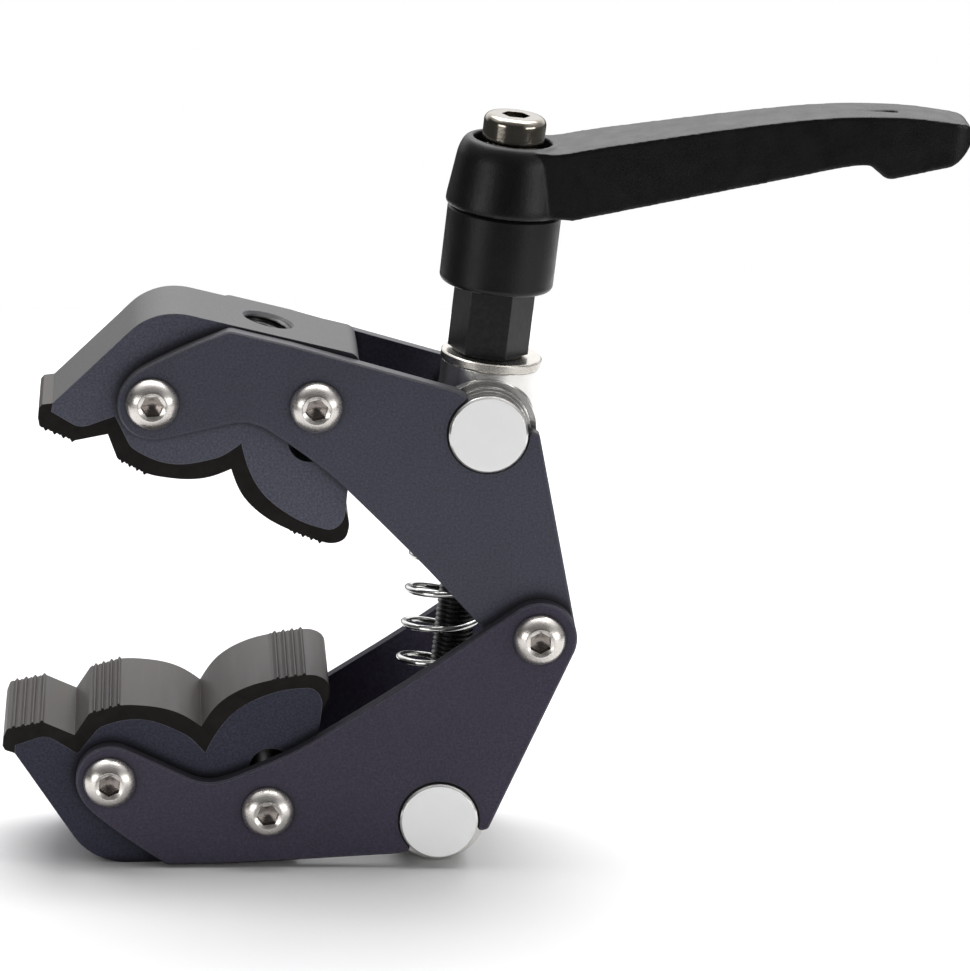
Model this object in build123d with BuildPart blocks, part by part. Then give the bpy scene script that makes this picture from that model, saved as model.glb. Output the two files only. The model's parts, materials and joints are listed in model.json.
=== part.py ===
from build123d import *
import os
from math import sin, cos, tan, radians, degrees, hypot, atan2, pi

os.makedirs("parts", exist_ok=True)

# ---------------------------------------------------------------------------
# Screw clamp with two scissor arms, rocking jaws and an adjustable lever.
# Millimetres, +Z up, -Y is the front. The bottom of the lower arm is z = 0.
# ---------------------------------------------------------------------------

# --- driving dimensions ------------------------------------------------------
hinge_x = 11.273           # arm hinge centre
hinge_z = 48.409
arm_up_deg = 148.40        # direction hinge -> upper jaw pivot, from +X
arm_lo_deg = -160.64       # direction hinge -> lower jaw pivot

jaw_pivot = (90.75, 0.0)   # in the arm frame: x to the jaw pivot, y outward
jaw_stop = (62.95, 16.45)
swivel_at = (31.10, 29.70)  # swivel pin, the same radius on both arms

plate_t = 3.0
lo_in = 15.0               # half gap between the lower plates
up_out = 14.3              # half width over the upper plates
up_in = up_out - plate_t
edge_break = 0.35

hinge_lobe_r = 7.5
jaw_lobe_r = 7.1
screw_r = 3.0
screw_clear_r = 3.15
head_r = 5.25
head_h = 3.1
socket_af = 4.0

hinge_sleeve_r = 5.0
hinge_bore_r = 5.06
sleeve_r = 4.0
jaw_bore_r = 4.06
slot_half = 4.3
slot_in_deg = -14.2
slot_out_deg = 0.3

up_block_h = 11.0          # half width of the upper jaw
lo_block_h = 14.7          # half width of the lower jaw

tap_r = 4.80               # accessory thread, 3/8 inch, in each jaw
tap_mouth_r = 5.40
tap_depth = 11.0
tap_at = 22.8

pin_r = 7.87               # swivel pin journal
notch_r = 7.95
barrel_r = 9.8
shoulder_r = 8.5

rod_r = 4.0                # M8 clamping screw
rod_clear_r = 5.25         # wide hole, so that the screw can lean in the pin
rod_lean = 0.87            # how far the screw stands off the upper pin's centre
nut_bore_r = 4.2

washer_r = 10.15
washer_h0, washer_h1 = 11.1, 13.0
hex_af = 14.0
hex_h0, hex_h1 = 13.1, 27.0
collar_r = 11.35
collar_h1 = 42.5
hub_foot_r = 11.9
hub_h0 = 42.7
hub_top = 56.7

spring_wire = 0.7
spring_R = 7.7
spring_shift = 2.65        # the loose spring leans on the screw

# --- frames -----------------------------------------------------------------
def arm_plane(deg, front):
    a = radians(deg)
    return Plane(origin=(hinge_x, 0, hinge_z), x_dir=(cos(a), 0, sin(a)),
                 z_dir=(0, -1 if front else 1, 0))


UP = arm_plane(arm_up_deg, False)   # local z points to +Y
LO = arm_plane(arm_lo_deg, True)    # local z points to -Y


def arm_point(plane, p):
    v = plane.from_local_coords(Vector(p[0], p[1], 0))
    return (v.X, v.Z)


def jaw_plane(plane):
    a = plane.from_local_coords(Vector(jaw_pivot[0], jaw_pivot[1], 0))
    b = plane.from_local_coords(Vector(jaw_stop[0], jaw_stop[1], 0))
    d = b - a
    return Plane(origin=a, x_dir=(d.X, 0, d.Z),
                 z_dir=(0, -plane.z_dir.Y, 0))


JU = jaw_plane(UP)                  # local z points to -Y
JL = jaw_plane(LO)                  # local z points to +Y
stop_R = hypot(jaw_stop[0] - jaw_pivot[0], jaw_stop[1] - jaw_pivot[1])

ux, uz = arm_point(UP, swivel_at)
lx, lz = arm_point(LO, swivel_at)
pin_dist = hypot(ux - lx, uz - lz)          # pin to pin, arms as shown
qx = ux - rod_lean * (uz - lz) / pin_dist   # point where the screw passes the upper pin
qz = uz + rod_lean * (ux - lx) / pin_dist
screw_len = hypot(qx - lx, qz - lz)
sx, sz = (qx - lx) / screw_len, (qz - lz) / screw_len
SC = Plane(origin=(qx, 0, qz), x_dir=(sz, 0, -sx), z_dir=(sx, 0, sz))
BOSS = Plane(origin=(ux, 0, uz), x_dir=(sz, 0, -sx), z_dir=(sx, 0, sz))
SWU = Plane(origin=(ux, 0, uz), x_dir=(sz, 0, -sx), z_dir=(0, -1, 0))
SWL = Plane(origin=(lx, 0, lz), x_dir=(sz, 0, -sx), z_dir=(0, -1, 0))

# --- profile of an arm plate, in the arm frame --------------------------------
with BuildSketch() as plate_outline:
    with BuildLine():
        a_h = radians(136.6)
        h0 = (hinge_lobe_r * cos(a_h), hinge_lobe_r * sin(a_h))
        h1 = (2.05, -7.214)
        b_h = radians(206.0)
        h_mid = (hinge_lobe_r * cos(b_h), hinge_lobe_r * sin(b_h))
        Line(h0, (22.3, 34.85))
        Line((22.3, 34.85), (41.2, 33.8))
        Line((41.2, 33.8), (73.5, 24.6))
        Line((73.5, 24.6), (85.7, 20.6))
        Spline((85.7, 20.6), (91.1, 13.2), (95.7, 5.8), (97.4, -0.2),
               tangents=((6.0, -8.0), (0.0, -1.0)))
        ThreePointArc((97.4, -0.2), (90.3 + 7.1 * cos(radians(292)), -0.2 + 7.1 * sin(radians(292))),
                      (90.3 + 7.1 * cos(radians(225)), -0.2 + 7.1 * sin(radians(225))))
        Line((90.3 + 7.1 * cos(radians(225)), -0.2 + 7.1 * sin(radians(225))), (75.7, 4.36))
        Spline((75.7, 4.36), (72.6, 6.55), (68.3, 7.35),
               tangents=((-1.0, 1.0), (-1.0, 0.0)))
        Spline((68.3, 7.35), (61.0, 6.95), (54.0, 6.25), (45.0, 4.35), (34.0, 1.7), (23.0, -1.2), (10.0, -5.0),
               tangents=((-1.0, 0.0), (-1.0, -0.285)))
        Line((10.0, -5.0), h1)
        ThreePointArc(h1, h_mid, h0)
    make_face()
    with Locations(swivel_at):
        Circle(notch_r, mode=Mode.SUBTRACT)
    outer_corners = plate_outline.vertices().filter_by(lambda v: 35.5 > v.Y > 33.0 and 20 < v.X < 40)
    fillet([v for v in outer_corners if v.X > 24], 0.9)
    nose = [v for v in plate_outline.vertices() if abs(v.X - 22.3) < 0.05 and abs(v.Y - 34.85) < 0.05]
    fillet(nose, 0.9)
    knee = [v for v in plate_outline.vertices() if abs(v.X - 85.7) < 0.05]
    fillet(knee, 2.5)
    with Locations(jaw_pivot, jaw_stop):
        Circle(screw_clear_r, mode=Mode.SUBTRACT)

# --- the four arm plates --------------------------------------------------------
with BuildPart() as upper_front_plate:
    with BuildSketch(UP.offset(-up_out)) as s:
        add(plate_outline.sketch)
        Circle(hinge_bore_r, mode=Mode.SUBTRACT)
    extrude(amount=plate_t)
    chamfer(upper_front_plate.faces().sort_by(Axis.Y)[0].outer_wire().edges(), edge_break)

with BuildPart() as upper_rear_plate:
    with BuildSketch(UP.offset(up_in)) as s:
        add(plate_outline.sketch)
        Circle(hinge_bore_r, mode=Mode.SUBTRACT)
    extrude(amount=plate_t)
    chamfer(upper_rear_plate.faces().sort_by(Axis.Y)[-1].outer_wire().edges(), edge_break)

with BuildPart() as lower_front_plate:
    with BuildSketch(LO.offset(lo_in)) as s:
        add(plate_outline.sketch)
        Circle(screw_clear_r, mode=Mode.SUBTRACT)
    extrude(amount=plate_t)
    chamfer(lower_front_plate.faces().sort_by(Axis.Y)[0].outer_wire().edges(), edge_break)

with BuildPart() as lower_rear_plate:
    with BuildSketch(LO.offset(-lo_in - plate_t)) as s:
        add(plate_outline.sketch)
        Circle(screw_clear_r, mode=Mode.SUBTRACT)
    extrude(amount=plate_t)
    chamfer(lower_rear_plate.faces().sort_by(Axis.Y)[-1].outer_wire().edges(), edge_break)


# --- jaw section: an extruded block with three saddles and a rubber pad --------
def grip_line():
    """Mouth side of the block, nose to heel, shared by block and pad."""
    Line((-19.55, -1.2), (-19.85, -2.9))
    Line((-19.85, -2.9), (-15.4, -5.5))
    Spline((-15.4, -5.5), (-13.8, -5.85), (-12.0, -5.45),
           tangents=((1.0, -0.45), (1.0, 0.36)))
    Line((-12.0, -5.45), (-7.25, -3.6))
    Line((-7.25, -3.6), (-4.55, -9.0))
    Spline((-4.55, -9.0), (-2.3, -11.0), (1.7, -12.75), (6.6, -13.2), (12.3, -12.0), (17.8, -8.7),
           tangents=((0.5, -1.0), (1.0, 0.78)))
    Spline((17.8, -8.7), (19.5, -14.3), (22.6, -19.3), (28.0, -23.5), (35.2, -26.2),
           tangents=((0.2, -1.0), (1.0, -0.24)))
    Spline((35.2, -26.2), (38.0, -24.9), (38.85, -22.0),
           tangents=((1.0, -0.1), (0.05, 1.0)))


def saw(p0, p1, n, h):
    """Ribs from p0 to p1: a low one and a sharp one in each step."""
    dx, dy = p1[0] - p0[0], p1[1] - p0[1]
    ln = hypot(dx, dy)
    nx, ny = dy / ln, -dx / ln
    pts = [p0]
    for i in range(n):
        for at, up in ((0.34, 0.42), (0.46, 0.08), (0.76, 1.0), (0.86, 1.0), (1.0, 0.0)):
            t = (i + at) / n
            pts.append((p0[0] + dx * t + nx * h * up, p0[1] + dy * t + ny * h * up))
    return pts


rib_h = 0.5
with BuildSketch() as block_outline:
    with BuildLine():
        grip_line()
        Line((38.85, -22.0), (40.9, 7.0))
        Line((40.9, 7.0), (40.2, 10.05))
        Line((40.2, 10.05), (7.2, 17.25))
        Spline((7.2, 17.25), (4.5, 17.55), (2.0, 17.35), (-0.5, 16.6), (-2.9, 15.3), (-5.2, 13.25),
               tangents=((-1.0, 0.218), (-1.0, -1.0)))
        Line((-5.2, 13.25), (-19.55, -1.2))
    make_face()
    fillet([v for v in block_outline.vertices() if v.X > 39.9 and v.Y > 9], 2.2)
    Circle(jaw_bore_r, mode=Mode.SUBTRACT)
    with BuildLine():
        a0, a1 = radians(slot_in_deg), radians(slot_out_deg)
        am = (a0 + a1) / 2
        ri, ro = stop_R - slot_half, stop_R + slot_half
        ThreePointArc((ro * cos(a0), ro * sin(a0)), (ro * cos(am), ro * sin(am)), (ro * cos(a1), ro * sin(a1)))
        ThreePointArc((ro * cos(a1), ro * sin(a1)),
                      (stop_R * cos(a1) - slot_half * sin(a1), stop_R * sin(a1) + slot_half * cos(a1)),
                      (ri * cos(a1), ri * sin(a1)))
        ThreePointArc((ri * cos(a1), ri * sin(a1)), (ri * cos(am), ri * sin(am)), (ri * cos(a0), ri * sin(a0)))
        ThreePointArc((ri * cos(a0), ri * sin(a0)),
                      (stop_R * cos(a0) + slot_half * sin(a0), stop_R * sin(a0) - slot_half * cos(a0)),
                      (ro * cos(a0), ro * sin(a0)))
    make_face(mode=Mode.SUBTRACT)

with BuildSketch() as pad_outline:
    with BuildLine():
        grip_line()
        Polyline((-19.55, -1.2), (-21.6, -1.5), (-22.25, -2.3), (-22.4, -4.2), (-22.1, -5.8))
        teeth1 = saw((-22.1, -5.8), (-15.1, -8.75), 4, rib_h)
        Polyline(*teeth1)
        Line(teeth1[-1], (-8.6, -7.3))
        Line((-8.6, -7.3), (-6.7, -12.15))
        teeth2 = saw((-6.7, -12.15), (-0.8, -15.25), 4, rib_h)
        Polyline(*teeth2)
        Spline(teeth2[-1], (2.9, -16.0), (6.6, -16.3), (11.2, -15.85), (15.9, -14.0),
               tangents=((1.0, -0.34), (1.0, 0.5)))
        Spline((15.9, -14.0), (18.3, -19.4), (22.6, -23.6), (27.6, -26.3),
               tangents=((0.33, -1.0), (1.0, -0.42)))
        teeth3 = saw((27.6, -26.3), (34.3, -28.75), 4, rib_h)
        Polyline(*teeth3)
        Spline(teeth3[-1], (36.7, -29.0), (38.9, -27.9), (39.6, -25.8), (38.85, -22.0),
               tangents=((1.0, -0.3), (-0.3, 1.0)))
    make_face()

flat_slope = atan2(10.05 - 17.25, 40.2 - 7.2)
tap_y = 17.25 + (tap_at - 7.2) * tan(flat_slope)
tap_n = (-sin(flat_slope), cos(flat_slope))      # outward normal of the back flat


def tap_plane(jp, back):
    """Plane on the back flat of a jaw at the accessory thread, z outward."""
    o = jp.from_local_coords(Vector(tap_at + tap_n[0] * back, tap_y + tap_n[1] * back, 0))
    n = jp.from_local_coords(Vector(tap_at + tap_n[0], tap_y + tap_n[1], 0)) - \
        jp.from_local_coords(Vector(tap_at, tap_y, 0))
    return Plane(origin=o, x_dir=(0, 1, 0), z_dir=(n.X, n.Y, n.Z))


with BuildPart() as upper_jaw_block:
    with BuildSketch(JU.offset(-up_block_h)) as s:
        add(block_outline.sketch)
    extrude(amount=2 * up_block_h)
    with BuildSketch(tap_plane(JU, 0)) as s:
        Circle(tap_r)
    extrude(amount=-tap_depth, mode=Mode.SUBTRACT)
    with BuildSketch(tap_plane(JU, 0.05)) as s:
        Circle(tap_mouth_r)
    extrude(amount=-(tap_mouth_r - tap_r + 0.05), taper=45, mode=Mode.SUBTRACT)

with BuildPart() as lower_jaw_block:
    with BuildSketch(JL.offset(-lo_block_h)) as s:
        add(block_outline.sketch)
    extrude(amount=2 * lo_block_h)
    with BuildSketch(tap_plane(JL, 0)) as s:
        Circle(tap_r)
    extrude(amount=-tap_depth, mode=Mode.SUBTRACT)
    with BuildSketch(tap_plane(JL, 0.05)) as s:
        Circle(tap_mouth_r)
    extrude(amount=-(tap_mouth_r - tap_r + 0.05), taper=45, mode=Mode.SUBTRACT)

with BuildPart() as upper_jaw_pad:
    with BuildSketch(JU.offset(-up_block_h)) as s:
        add(pad_outline.sketch)
    extrude(amount=2 * up_block_h)

with BuildPart() as lower_jaw_pad:
    with BuildSketch(JL.offset(-lo_block_h)) as s:
        add(pad_outline.sketch)
    extrude(amount=2 * lo_block_h)

# --- sleeves between the plates ----------------------------------------------------
with BuildPart() as upper_pivot_sleeve:
    with BuildSketch(UP.offset(-up_in)) as s:
        with Locations(jaw_pivot):
            Circle(sleeve_r)
            Circle(screw_r + 0.02, mode=Mode.SUBTRACT)
    extrude(amount=2 * up_in)

with BuildPart() as upper_stop_sleeve:
    with BuildSketch(UP.offset(-up_in)) as s:
        with Locations(jaw_stop):
            Circle(sleeve_r)
            Circle(screw_r + 0.02, mode=Mode.SUBTRACT)
    extrude(amount=2 * up_in)

with BuildPart() as lower_pivot_sleeve:
    with BuildSketch(LO.offset(-lo_in)) as s:
        with Locations(jaw_pivot):
            Circle(sleeve_r)
            Circle(screw_r + 0.02, mode=Mode.SUBTRACT)
    extrude(amount=2 * lo_in)

with BuildPart() as lower_stop_sleeve:
    with BuildSketch(LO.offset(-lo_in)) as s:
        with Locations(jaw_stop):
            Circle(sleeve_r)
            Circle(screw_r + 0.02, mode=Mode.SUBTRACT)
    extrude(amount=2 * lo_in)

with BuildPart() as hinge_sleeve:
    with BuildSketch(LO.offset(-lo_in)) as s:
        Circle(hinge_sleeve_r)
        Circle(screw_r + 0.02, mode=Mode.SUBTRACT)
    extrude(amount=2 * lo_in)

with BuildPart() as hinge_washers:
    with BuildSketch(LO.offset(up_out + 0.1), LO.offset(-lo_in + 0.1)) as s:
        Circle(hinge_lobe_r - 0.3)
        Circle(hinge_sleeve_r + 0.05, mode=Mode.SUBTRACT)
    extrude(amount=0.5)


# --- button-head screws -----------------------------------------------------------
def button_outline(shank):
    """Half section of a button-head screw: head above y = 0, shank below."""
    Line((0, -shank), (screw_r - 0.4, -shank))
    Line((screw_r - 0.4, -shank), (screw_r, -shank + 0.4))
    Line((screw_r, -shank + 0.4), (screw_r, 0.0))
    Line((screw_r, 0.0), (head_r, 0.0))
    Line((head_r, 0.0), (head_r, 0.35))
    ThreePointArc((head_r, 0.35), (4.25, 2.05), (2.75, head_h))
    Line((2.75, head_h), (0, head_h))
    Line((0, head_h), (0, -shank))


def screw_plane(plane, at, h, out):
    """Plane through a screw's axis: local x is radial, local y points out of the head."""
    o = plane.from_local_coords(Vector(at[0], at[1], h))
    return Plane(origin=o, x_dir=plane.x_dir, z_dir=plane.x_dir.cross(Vector(0, out, 0)))


def head_plane(plane, at, h, out):
    o = plane.from_local_coords(Vector(at[0], at[1], h))
    return Plane(origin=o + Vector(0, out * head_h, 0), x_dir=plane.x_dir, z_dir=(0, out, 0))


with BuildPart() as upper_arm_screws:
    for at in (jaw_pivot, jaw_stop):
        for out, h in ((-1, -up_out), (1, up_out)):
            pl = screw_plane(UP, at, h, out)
            with BuildSketch(pl) as s:
                with BuildLine():
                    button_outline(9.5)
                make_face()
            revolve(axis=Axis(pl.origin, (0, out, 0)), revolution_arc=360)
            with BuildSketch(head_plane(UP, at, h, out)) as s:
                RegularPolygon(socket_af / 2, 6, major_radius=False, rotation=20)
            extrude(amount=-2.1, mode=Mode.SUBTRACT)

with BuildPart() as lower_arm_screws:
    for at in (jaw_pivot, jaw_stop):
        for out, h in ((-1, lo_in + plate_t), (1, -lo_in - plate_t)):
            pl = screw_plane(LO, at, h, out)
            with BuildSketch(pl) as s:
                with BuildLine():
                    button_outline(11.5)
                make_face()
            revolve(axis=Axis(pl.origin, (0, out, 0)), revolution_arc=360)
            with BuildSketch(head_plane(LO, at, h, out)) as s:
                RegularPolygon(socket_af / 2, 6, major_radius=False, rotation=20)
            extrude(amount=-2.1, mode=Mode.SUBTRACT)

with BuildPart() as hinge_screws:
    for out, h in ((-1, lo_in + plate_t), (1, -lo_in - plate_t)):
        pl = screw_plane(LO, (0, 0), h, out)
        with BuildSketch(pl) as s:
            with BuildLine():
                button_outline(11.5)
            make_face()
        revolve(axis=Axis(pl.origin, (0, out, 0)), revolution_arc=360)
        with BuildSketch(head_plane(LO, (0, 0), h, out)) as s:
            RegularPolygon(socket_af / 2, 6, major_radius=False, rotation=20)
        extrude(amount=-2.1, mode=Mode.SUBTRACT)

# --- swivel pins -------------------------------------------------------------------
with BuildPart() as upper_trunnion:
    with BuildSketch(SWU.offset(-up_in + 0.2)) as s:
        Circle(shoulder_r)
    extrude(amount=2 * (up_in - 0.2))
    with BuildSketch(SWU.offset(-up_in + 1.2)) as s:
        Circle(barrel_r)
    extrude(amount=2 * (up_in - 1.2))
    with BuildSketch(SWU.offset(-up_out - 0.9)) as s:
        Circle(pin_r)
    extrude(amount=2 * (up_out + 0.9))
    chamfer(upper_trunnion.faces().sort_by(Axis.Y)[0].edges(), 0.4)
    chamfer(upper_trunnion.faces().sort_by(Axis.Y)[-1].edges(), 0.4)
    with BuildSketch(BOSS) as s:
        Circle(barrel_r)
    extrude(amount=washer_h0 - 0.05)
    with BuildSketch(BOSS.offset(-12)) as s:
        Circle(rod_clear_r)
    extrude(amount=24, mode=Mode.SUBTRACT)

with BuildPart() as lower_trunnion:
    with BuildSketch(SWL.offset(-lo_in + 0.2)) as s:
        Circle(shoulder_r)
    extrude(amount=2 * (lo_in - 0.2))
    with BuildSketch(SWL.offset(-lo_in + 1.2)) as s:
        Circle(barrel_r)
    extrude(amount=2 * (lo_in - 1.2))
    with BuildSketch(SWL.offset(-lo_in - plate_t - 0.9)) as s:
        Circle(pin_r)
    extrude(amount=2 * (lo_in + plate_t + 0.9))
    chamfer(lower_trunnion.faces().sort_by(Axis.Y)[0].edges(), 0.4)
    chamfer(lower_trunnion.faces().sort_by(Axis.Y)[-1].edges(), 0.4)
    with BuildSketch(SC.offset(-screw_len - 12)) as s:
        Circle(nut_bore_r)
    extrude(amount=24, mode=Mode.SUBTRACT)

# --- clamping screw and what turns with it --------------------------------------------
with BuildPart() as clamp_screw:
    with BuildSketch(SC.offset(-screw_len - 8.9)) as s:
        Circle(rod_r)
    extrude(amount=screw_len + 8.9 + 44.0)
    chamfer(clamp_screw.faces().sort_by(Axis.Z)[0].edges(), 0.7)

with BuildPart() as thrust_washer:
    with BuildSketch(BOSS.offset(washer_h0)) as s:
        Circle(washer_r)
        Circle(rod_clear_r, mode=Mode.SUBTRACT)
    extrude(amount=washer_h1 - washer_h0)
    chamfer(thrust_washer.edges().filter_by(GeomType.CIRCLE).sort_by(SortBy.LENGTH)[-2:], 0.3)

with BuildPart() as hex_sleeve:
    with BuildSketch(SC.offset(hex_h0 + 0.4)) as s:
        RegularPolygon(hex_af / 2, 6, major_radius=False, rotation=-8)
    extrude(amount=hex_h1 - hex_h0 - 0.4)
    with BuildSketch(SC.offset(hex_h0)) as s:
        Circle(6.95)
    extrude(amount=0.4)
    with BuildSketch(SC.offset(hex_h1)) as s:
        Circle(6.0)
    extrude(amount=6.0)
    with BuildSketch(SC.offset(hex_h0)) as s:
        Circle(rod_r + 0.02)
    extrude(amount=hex_h1 - hex_h0 + 6.0, mode=Mode.SUBTRACT)

with BuildPart() as lever_collar:
    with BuildSketch(SC.offset(hex_h1 + 0.05)) as s:
        Circle(collar_r)
    extrude(amount=collar_h1 - hex_h1 - 0.05)
    fillet(lever_collar.edges().sort_by(Axis(SC.origin, SC.z_dir))[0], 1.2)
    chamfer(lever_collar.edges().sort_by(Axis(SC.origin, SC.z_dir))[-1], 0.4)
    with BuildSketch(SC.offset(hex_h1)) as s:
        Circle(6.02)
    extrude(amount=6.05, mode=Mode.SUBTRACT)
    with BuildSketch(SC.offset(hex_h1)) as s:
        Circle(rod_r + 0.02)
    extrude(amount=20, mode=Mode.SUBTRACT)

with BuildPart() as lever_insert:
    with BuildSketch(SC.offset(collar_h1)) as s:
        RegularPolygon(7.2, 24, major_radius=True)
    extrude(amount=8.0)
    with BuildSketch(SC.offset(collar_h1)) as s:
        Circle(rod_r + 0.02)
    extrude(amount=2.9, mode=Mode.SUBTRACT)
    with BuildSketch(SC.offset(collar_h1 + 2.9)) as s:
        Circle(screw_r + 0.02)
    extrude(amount=6, mode=Mode.SUBTRACT)

# --- lever handle -----------------------------------------------------------------------
# Side view frame: local x away from the screw axis, local y up the axis.
SIDE = Plane(origin=(qx, 0, qz), x_dir=(sz, 0, -sx), z_dir=(0, -1, 0))
HUBP = SIDE
with BuildPart() as lever_handle:
    with BuildSketch(SIDE.offset(-10)) as s:
        with BuildLine():
            Line((4.0, 43.1), (12.85, 43.3))
            Line((12.85, 43.3), (50.95, 54.7))
            Spline((50.95, 54.7), (61.5, 57.95), (68.1, 59.72), (70.5, 59.75),
                   tangents=((1.0, 0.31), (1.0, -0.36)))
            Line((70.5, 59.75), (73.1, 57.95))
            Spline((73.1, 57.95), (74.7, 57.55), (76.5, 58.05),
                   tangents=((1.0, -0.6), (1.0, 0.33)))
            Line((76.5, 58.05), (85.85, 60.95))
            Spline((85.85, 60.95), (88.95, 63.65), (90.2, 67.25), (87.85, 69.95),
                   tangents=((1.0, 0.37), (-1.0, 0.13)))
            Spline((87.85, 69.95), (80.05, 70.3), (71.65, 70.0), (61.1, 68.75), (47.8, 66.1), (37.55, 63.75), (18.5, 59.1),
                   tangents=((-1.0, 0.07), (-1.0, -0.24)))
            Line((18.5, 59.1), (13.5, 57.75))
            Spline((13.5, 57.75), (11.0, 57.0), (7.5, 56.3),
                   tangents=((-1.0, -0.27), (-1.0, -0.1)))
            Line((7.5, 56.3), (4.0, 56.2))
            Line((4.0, 56.2), (4.0, 43.1))
        make_face()
    extrude(amount=20)
    with BuildSketch(SC.offset(40)) as s:
        with BuildLine():
            Line((0, -8.9), (13.5, -8.75))
            Spline((13.5, -8.75), (36.5, -7.75), (61.5, -6.85), (85.5, -6.2),
                   tangents=((1.0, 0.03), (1.0, 0.03)))
            Spline((85.5, -6.2), (89.9, -4.2), (91.1, 0.0),
                   tangents=((1.0, 0.03), (0.0, 1.0)))
            Spline((91.1, 0.0), (89.9, 4.2), (85.5, 6.2),
                   tangents=((0.0, 1.0), (-1.0, 0.03)))
            Spline((85.5, 6.2), (61.5, 6.85), (36.5, 7.75), (13.5, 8.75),
                   tangents=((-1.0, 0.03), (-1.0, 0.03)))
            Line((13.5, 8.75), (0, 8.9))
            Line((0, 8.9), (0, -8.9))
        make_face()
    extrude(amount=40, mode=Mode.INTERSECT)
    with BuildSketch(HUBP) as s:
        with BuildLine():
            Line((0, hub_h0), (11.45, hub_h0))
            Line((11.45, hub_h0), (hub_foot_r, hub_h0 + 0.6))
            Line((hub_foot_r, hub_h0 + 0.6), (hub_foot_r - 0.05, hub_h0 + 1.8))
            Line((hub_foot_r - 0.05, hub_h0 + 1.8), (10.75, 52.8))
            Spline((10.75, 52.8), (10.1, 55.1), (8.6, hub_top),
                   tangents=((-0.12, 1.0), (-0.95, 0.3)))
            Line((8.6, hub_top), (0, hub_top))
            Line((0, hub_top), (0, hub_h0))
        make_face()
    revolve(axis=Axis(SC.origin, SC.z_dir), revolution_arc=360)
    # cap-screw recess, spring floor, toothed socket
    with BuildSketch(SC.offset(52.4)) as s:
        Circle(7.8)
    extrude(amount=10, mode=Mode.SUBTRACT)
    with BuildSketch(SC.offset(49.0)) as s:
        Circle(screw_r + 0.4)
    extrude(amount=6, mode=Mode.SUBTRACT)
    with BuildSketch(SC.offset(40.0)) as s:
        Circle(7.55)
    extrude(amount=10.9, mode=Mode.SUBTRACT)

with BuildPart() as lever_spring:
    with BuildSketch(SC.offset(52.5)) as s:
        Circle(5.6)
        Circle(4.0, mode=Mode.SUBTRACT)
    extrude(amount=3.7)

with BuildPart() as lever_cap_screw:
    with BuildSketch(SC.offset(56.3)) as s:
        Circle(6.2)
    extrude(amount=5.3)
    fillet(lever_cap_screw.edges().sort_by(Axis(SC.origin, SC.z_dir))[-1], 1.5)
    with BuildSketch(SC.offset(45.2)) as s:
        Circle(screw_r)
    extrude(amount=12)
    with BuildSketch(SC.offset(61.6)) as s:
        RegularPolygon(2.5, 6, major_radius=False)
    extrude(amount=-2.6, mode=Mode.SUBTRACT)

# --- opening spring on the screw ---------------------------------------------------------
spring_lo = -screw_len + barrel_r + 0.1
spring_hi = -barrel_r - 0.1
spring_h = spring_hi - spring_lo - 2 * spring_wire
spring_pitch = 7.35
coil_foot = SC.from_local_coords(Vector(-spring_shift, 0, spring_lo + spring_wire))
with BuildPart() as clamp_spring:
    with BuildLine() as coil:
        Helix(pitch=spring_pitch, height=spring_h, radius=spring_R,
              center=coil_foot, direction=SC.z_dir)
    with BuildSketch(coil.line ^ 0) as s:
        Circle(spring_wire)
    sweep()

# --- export -------------------------------------------------------------------------------
nodes = {
    "upper_front_plate": upper_front_plate, "upper_rear_plate": upper_rear_plate,
    "lower_front_plate": lower_front_plate, "lower_rear_plate": lower_rear_plate,
    "upper_jaw_block": upper_jaw_block, "lower_jaw_block": lower_jaw_block,
    "upper_jaw_pad": upper_jaw_pad, "lower_jaw_pad": lower_jaw_pad,
    "upper_pivot_sleeve": upper_pivot_sleeve, "upper_stop_sleeve": upper_stop_sleeve,
    "lower_pivot_sleeve": lower_pivot_sleeve, "lower_stop_sleeve": lower_stop_sleeve,
    "hinge_sleeve": hinge_sleeve, "hinge_washers": hinge_washers,
    "upper_arm_screws": upper_arm_screws, "lower_arm_screws": lower_arm_screws,
    "hinge_screws": hinge_screws,
    "upper_trunnion": upper_trunnion, "lower_trunnion": lower_trunnion,
    "clamp_screw": clamp_screw, "thrust_washer": thrust_washer, "hex_sleeve": hex_sleeve,
    "lever_collar": lever_collar, "lever_insert": lever_insert, "lever_handle": lever_handle,
    "lever_spring": lever_spring, "lever_cap_screw": lever_cap_screw,
    "clamp_spring": clamp_spring,
}
for name, builder in nodes.items():
    builder.part.label = name
    export_step(builder.part, "parts/" + name + ".step")

if __name__ == "__main__":
    print("upper swivel", round(ux, 4), round(uz, 4))
    print("lower swivel", round(lx, 4), round(lz, 4))
    print("screw passes", round(qx, 4), round(qz, 4))
    print("screw axis", round(sx, 6), round(sz, 6), "length", round(screw_len, 4))
    for nm, pl in (("upper", UP), ("lower", LO)):
        print(nm, "jaw pivot", arm_point(pl, jaw_pivot), "stop", arm_point(pl, jaw_stop))
    for nm, jp in (("upper", JU), ("lower", JL)):
        tp = tap_plane(jp, 0)
        print(nm, "tap", tuple(tp.origin), tuple(tp.z_dir))
    lo, hi = [1e9] * 3, [-1e9] * 3
    for name, builder in nodes.items():
        bb = builder.part.bounding_box()
        for i, (a, b) in enumerate(zip(tuple(bb.min), tuple(bb.max))):
            lo[i] = min(lo[i], a); hi[i] = max(hi[i], b)
        print(f"{name:20s} vol {builder.part.volume:9.1f}  solids {len(builder.part.solids())}  "
              f"x {bb.min.X:7.2f} {bb.max.X:7.2f}  y {bb.min.Y:6.2f} {bb.max.Y:6.2f}  z {bb.min.Z:7.2f} {bb.max.Z:7.2f}")
    print("all", [round(v, 3) for v in lo], [round(v, 3) for v in hi], "centre x", (lo[0] + hi[0]) / 2)
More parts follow.
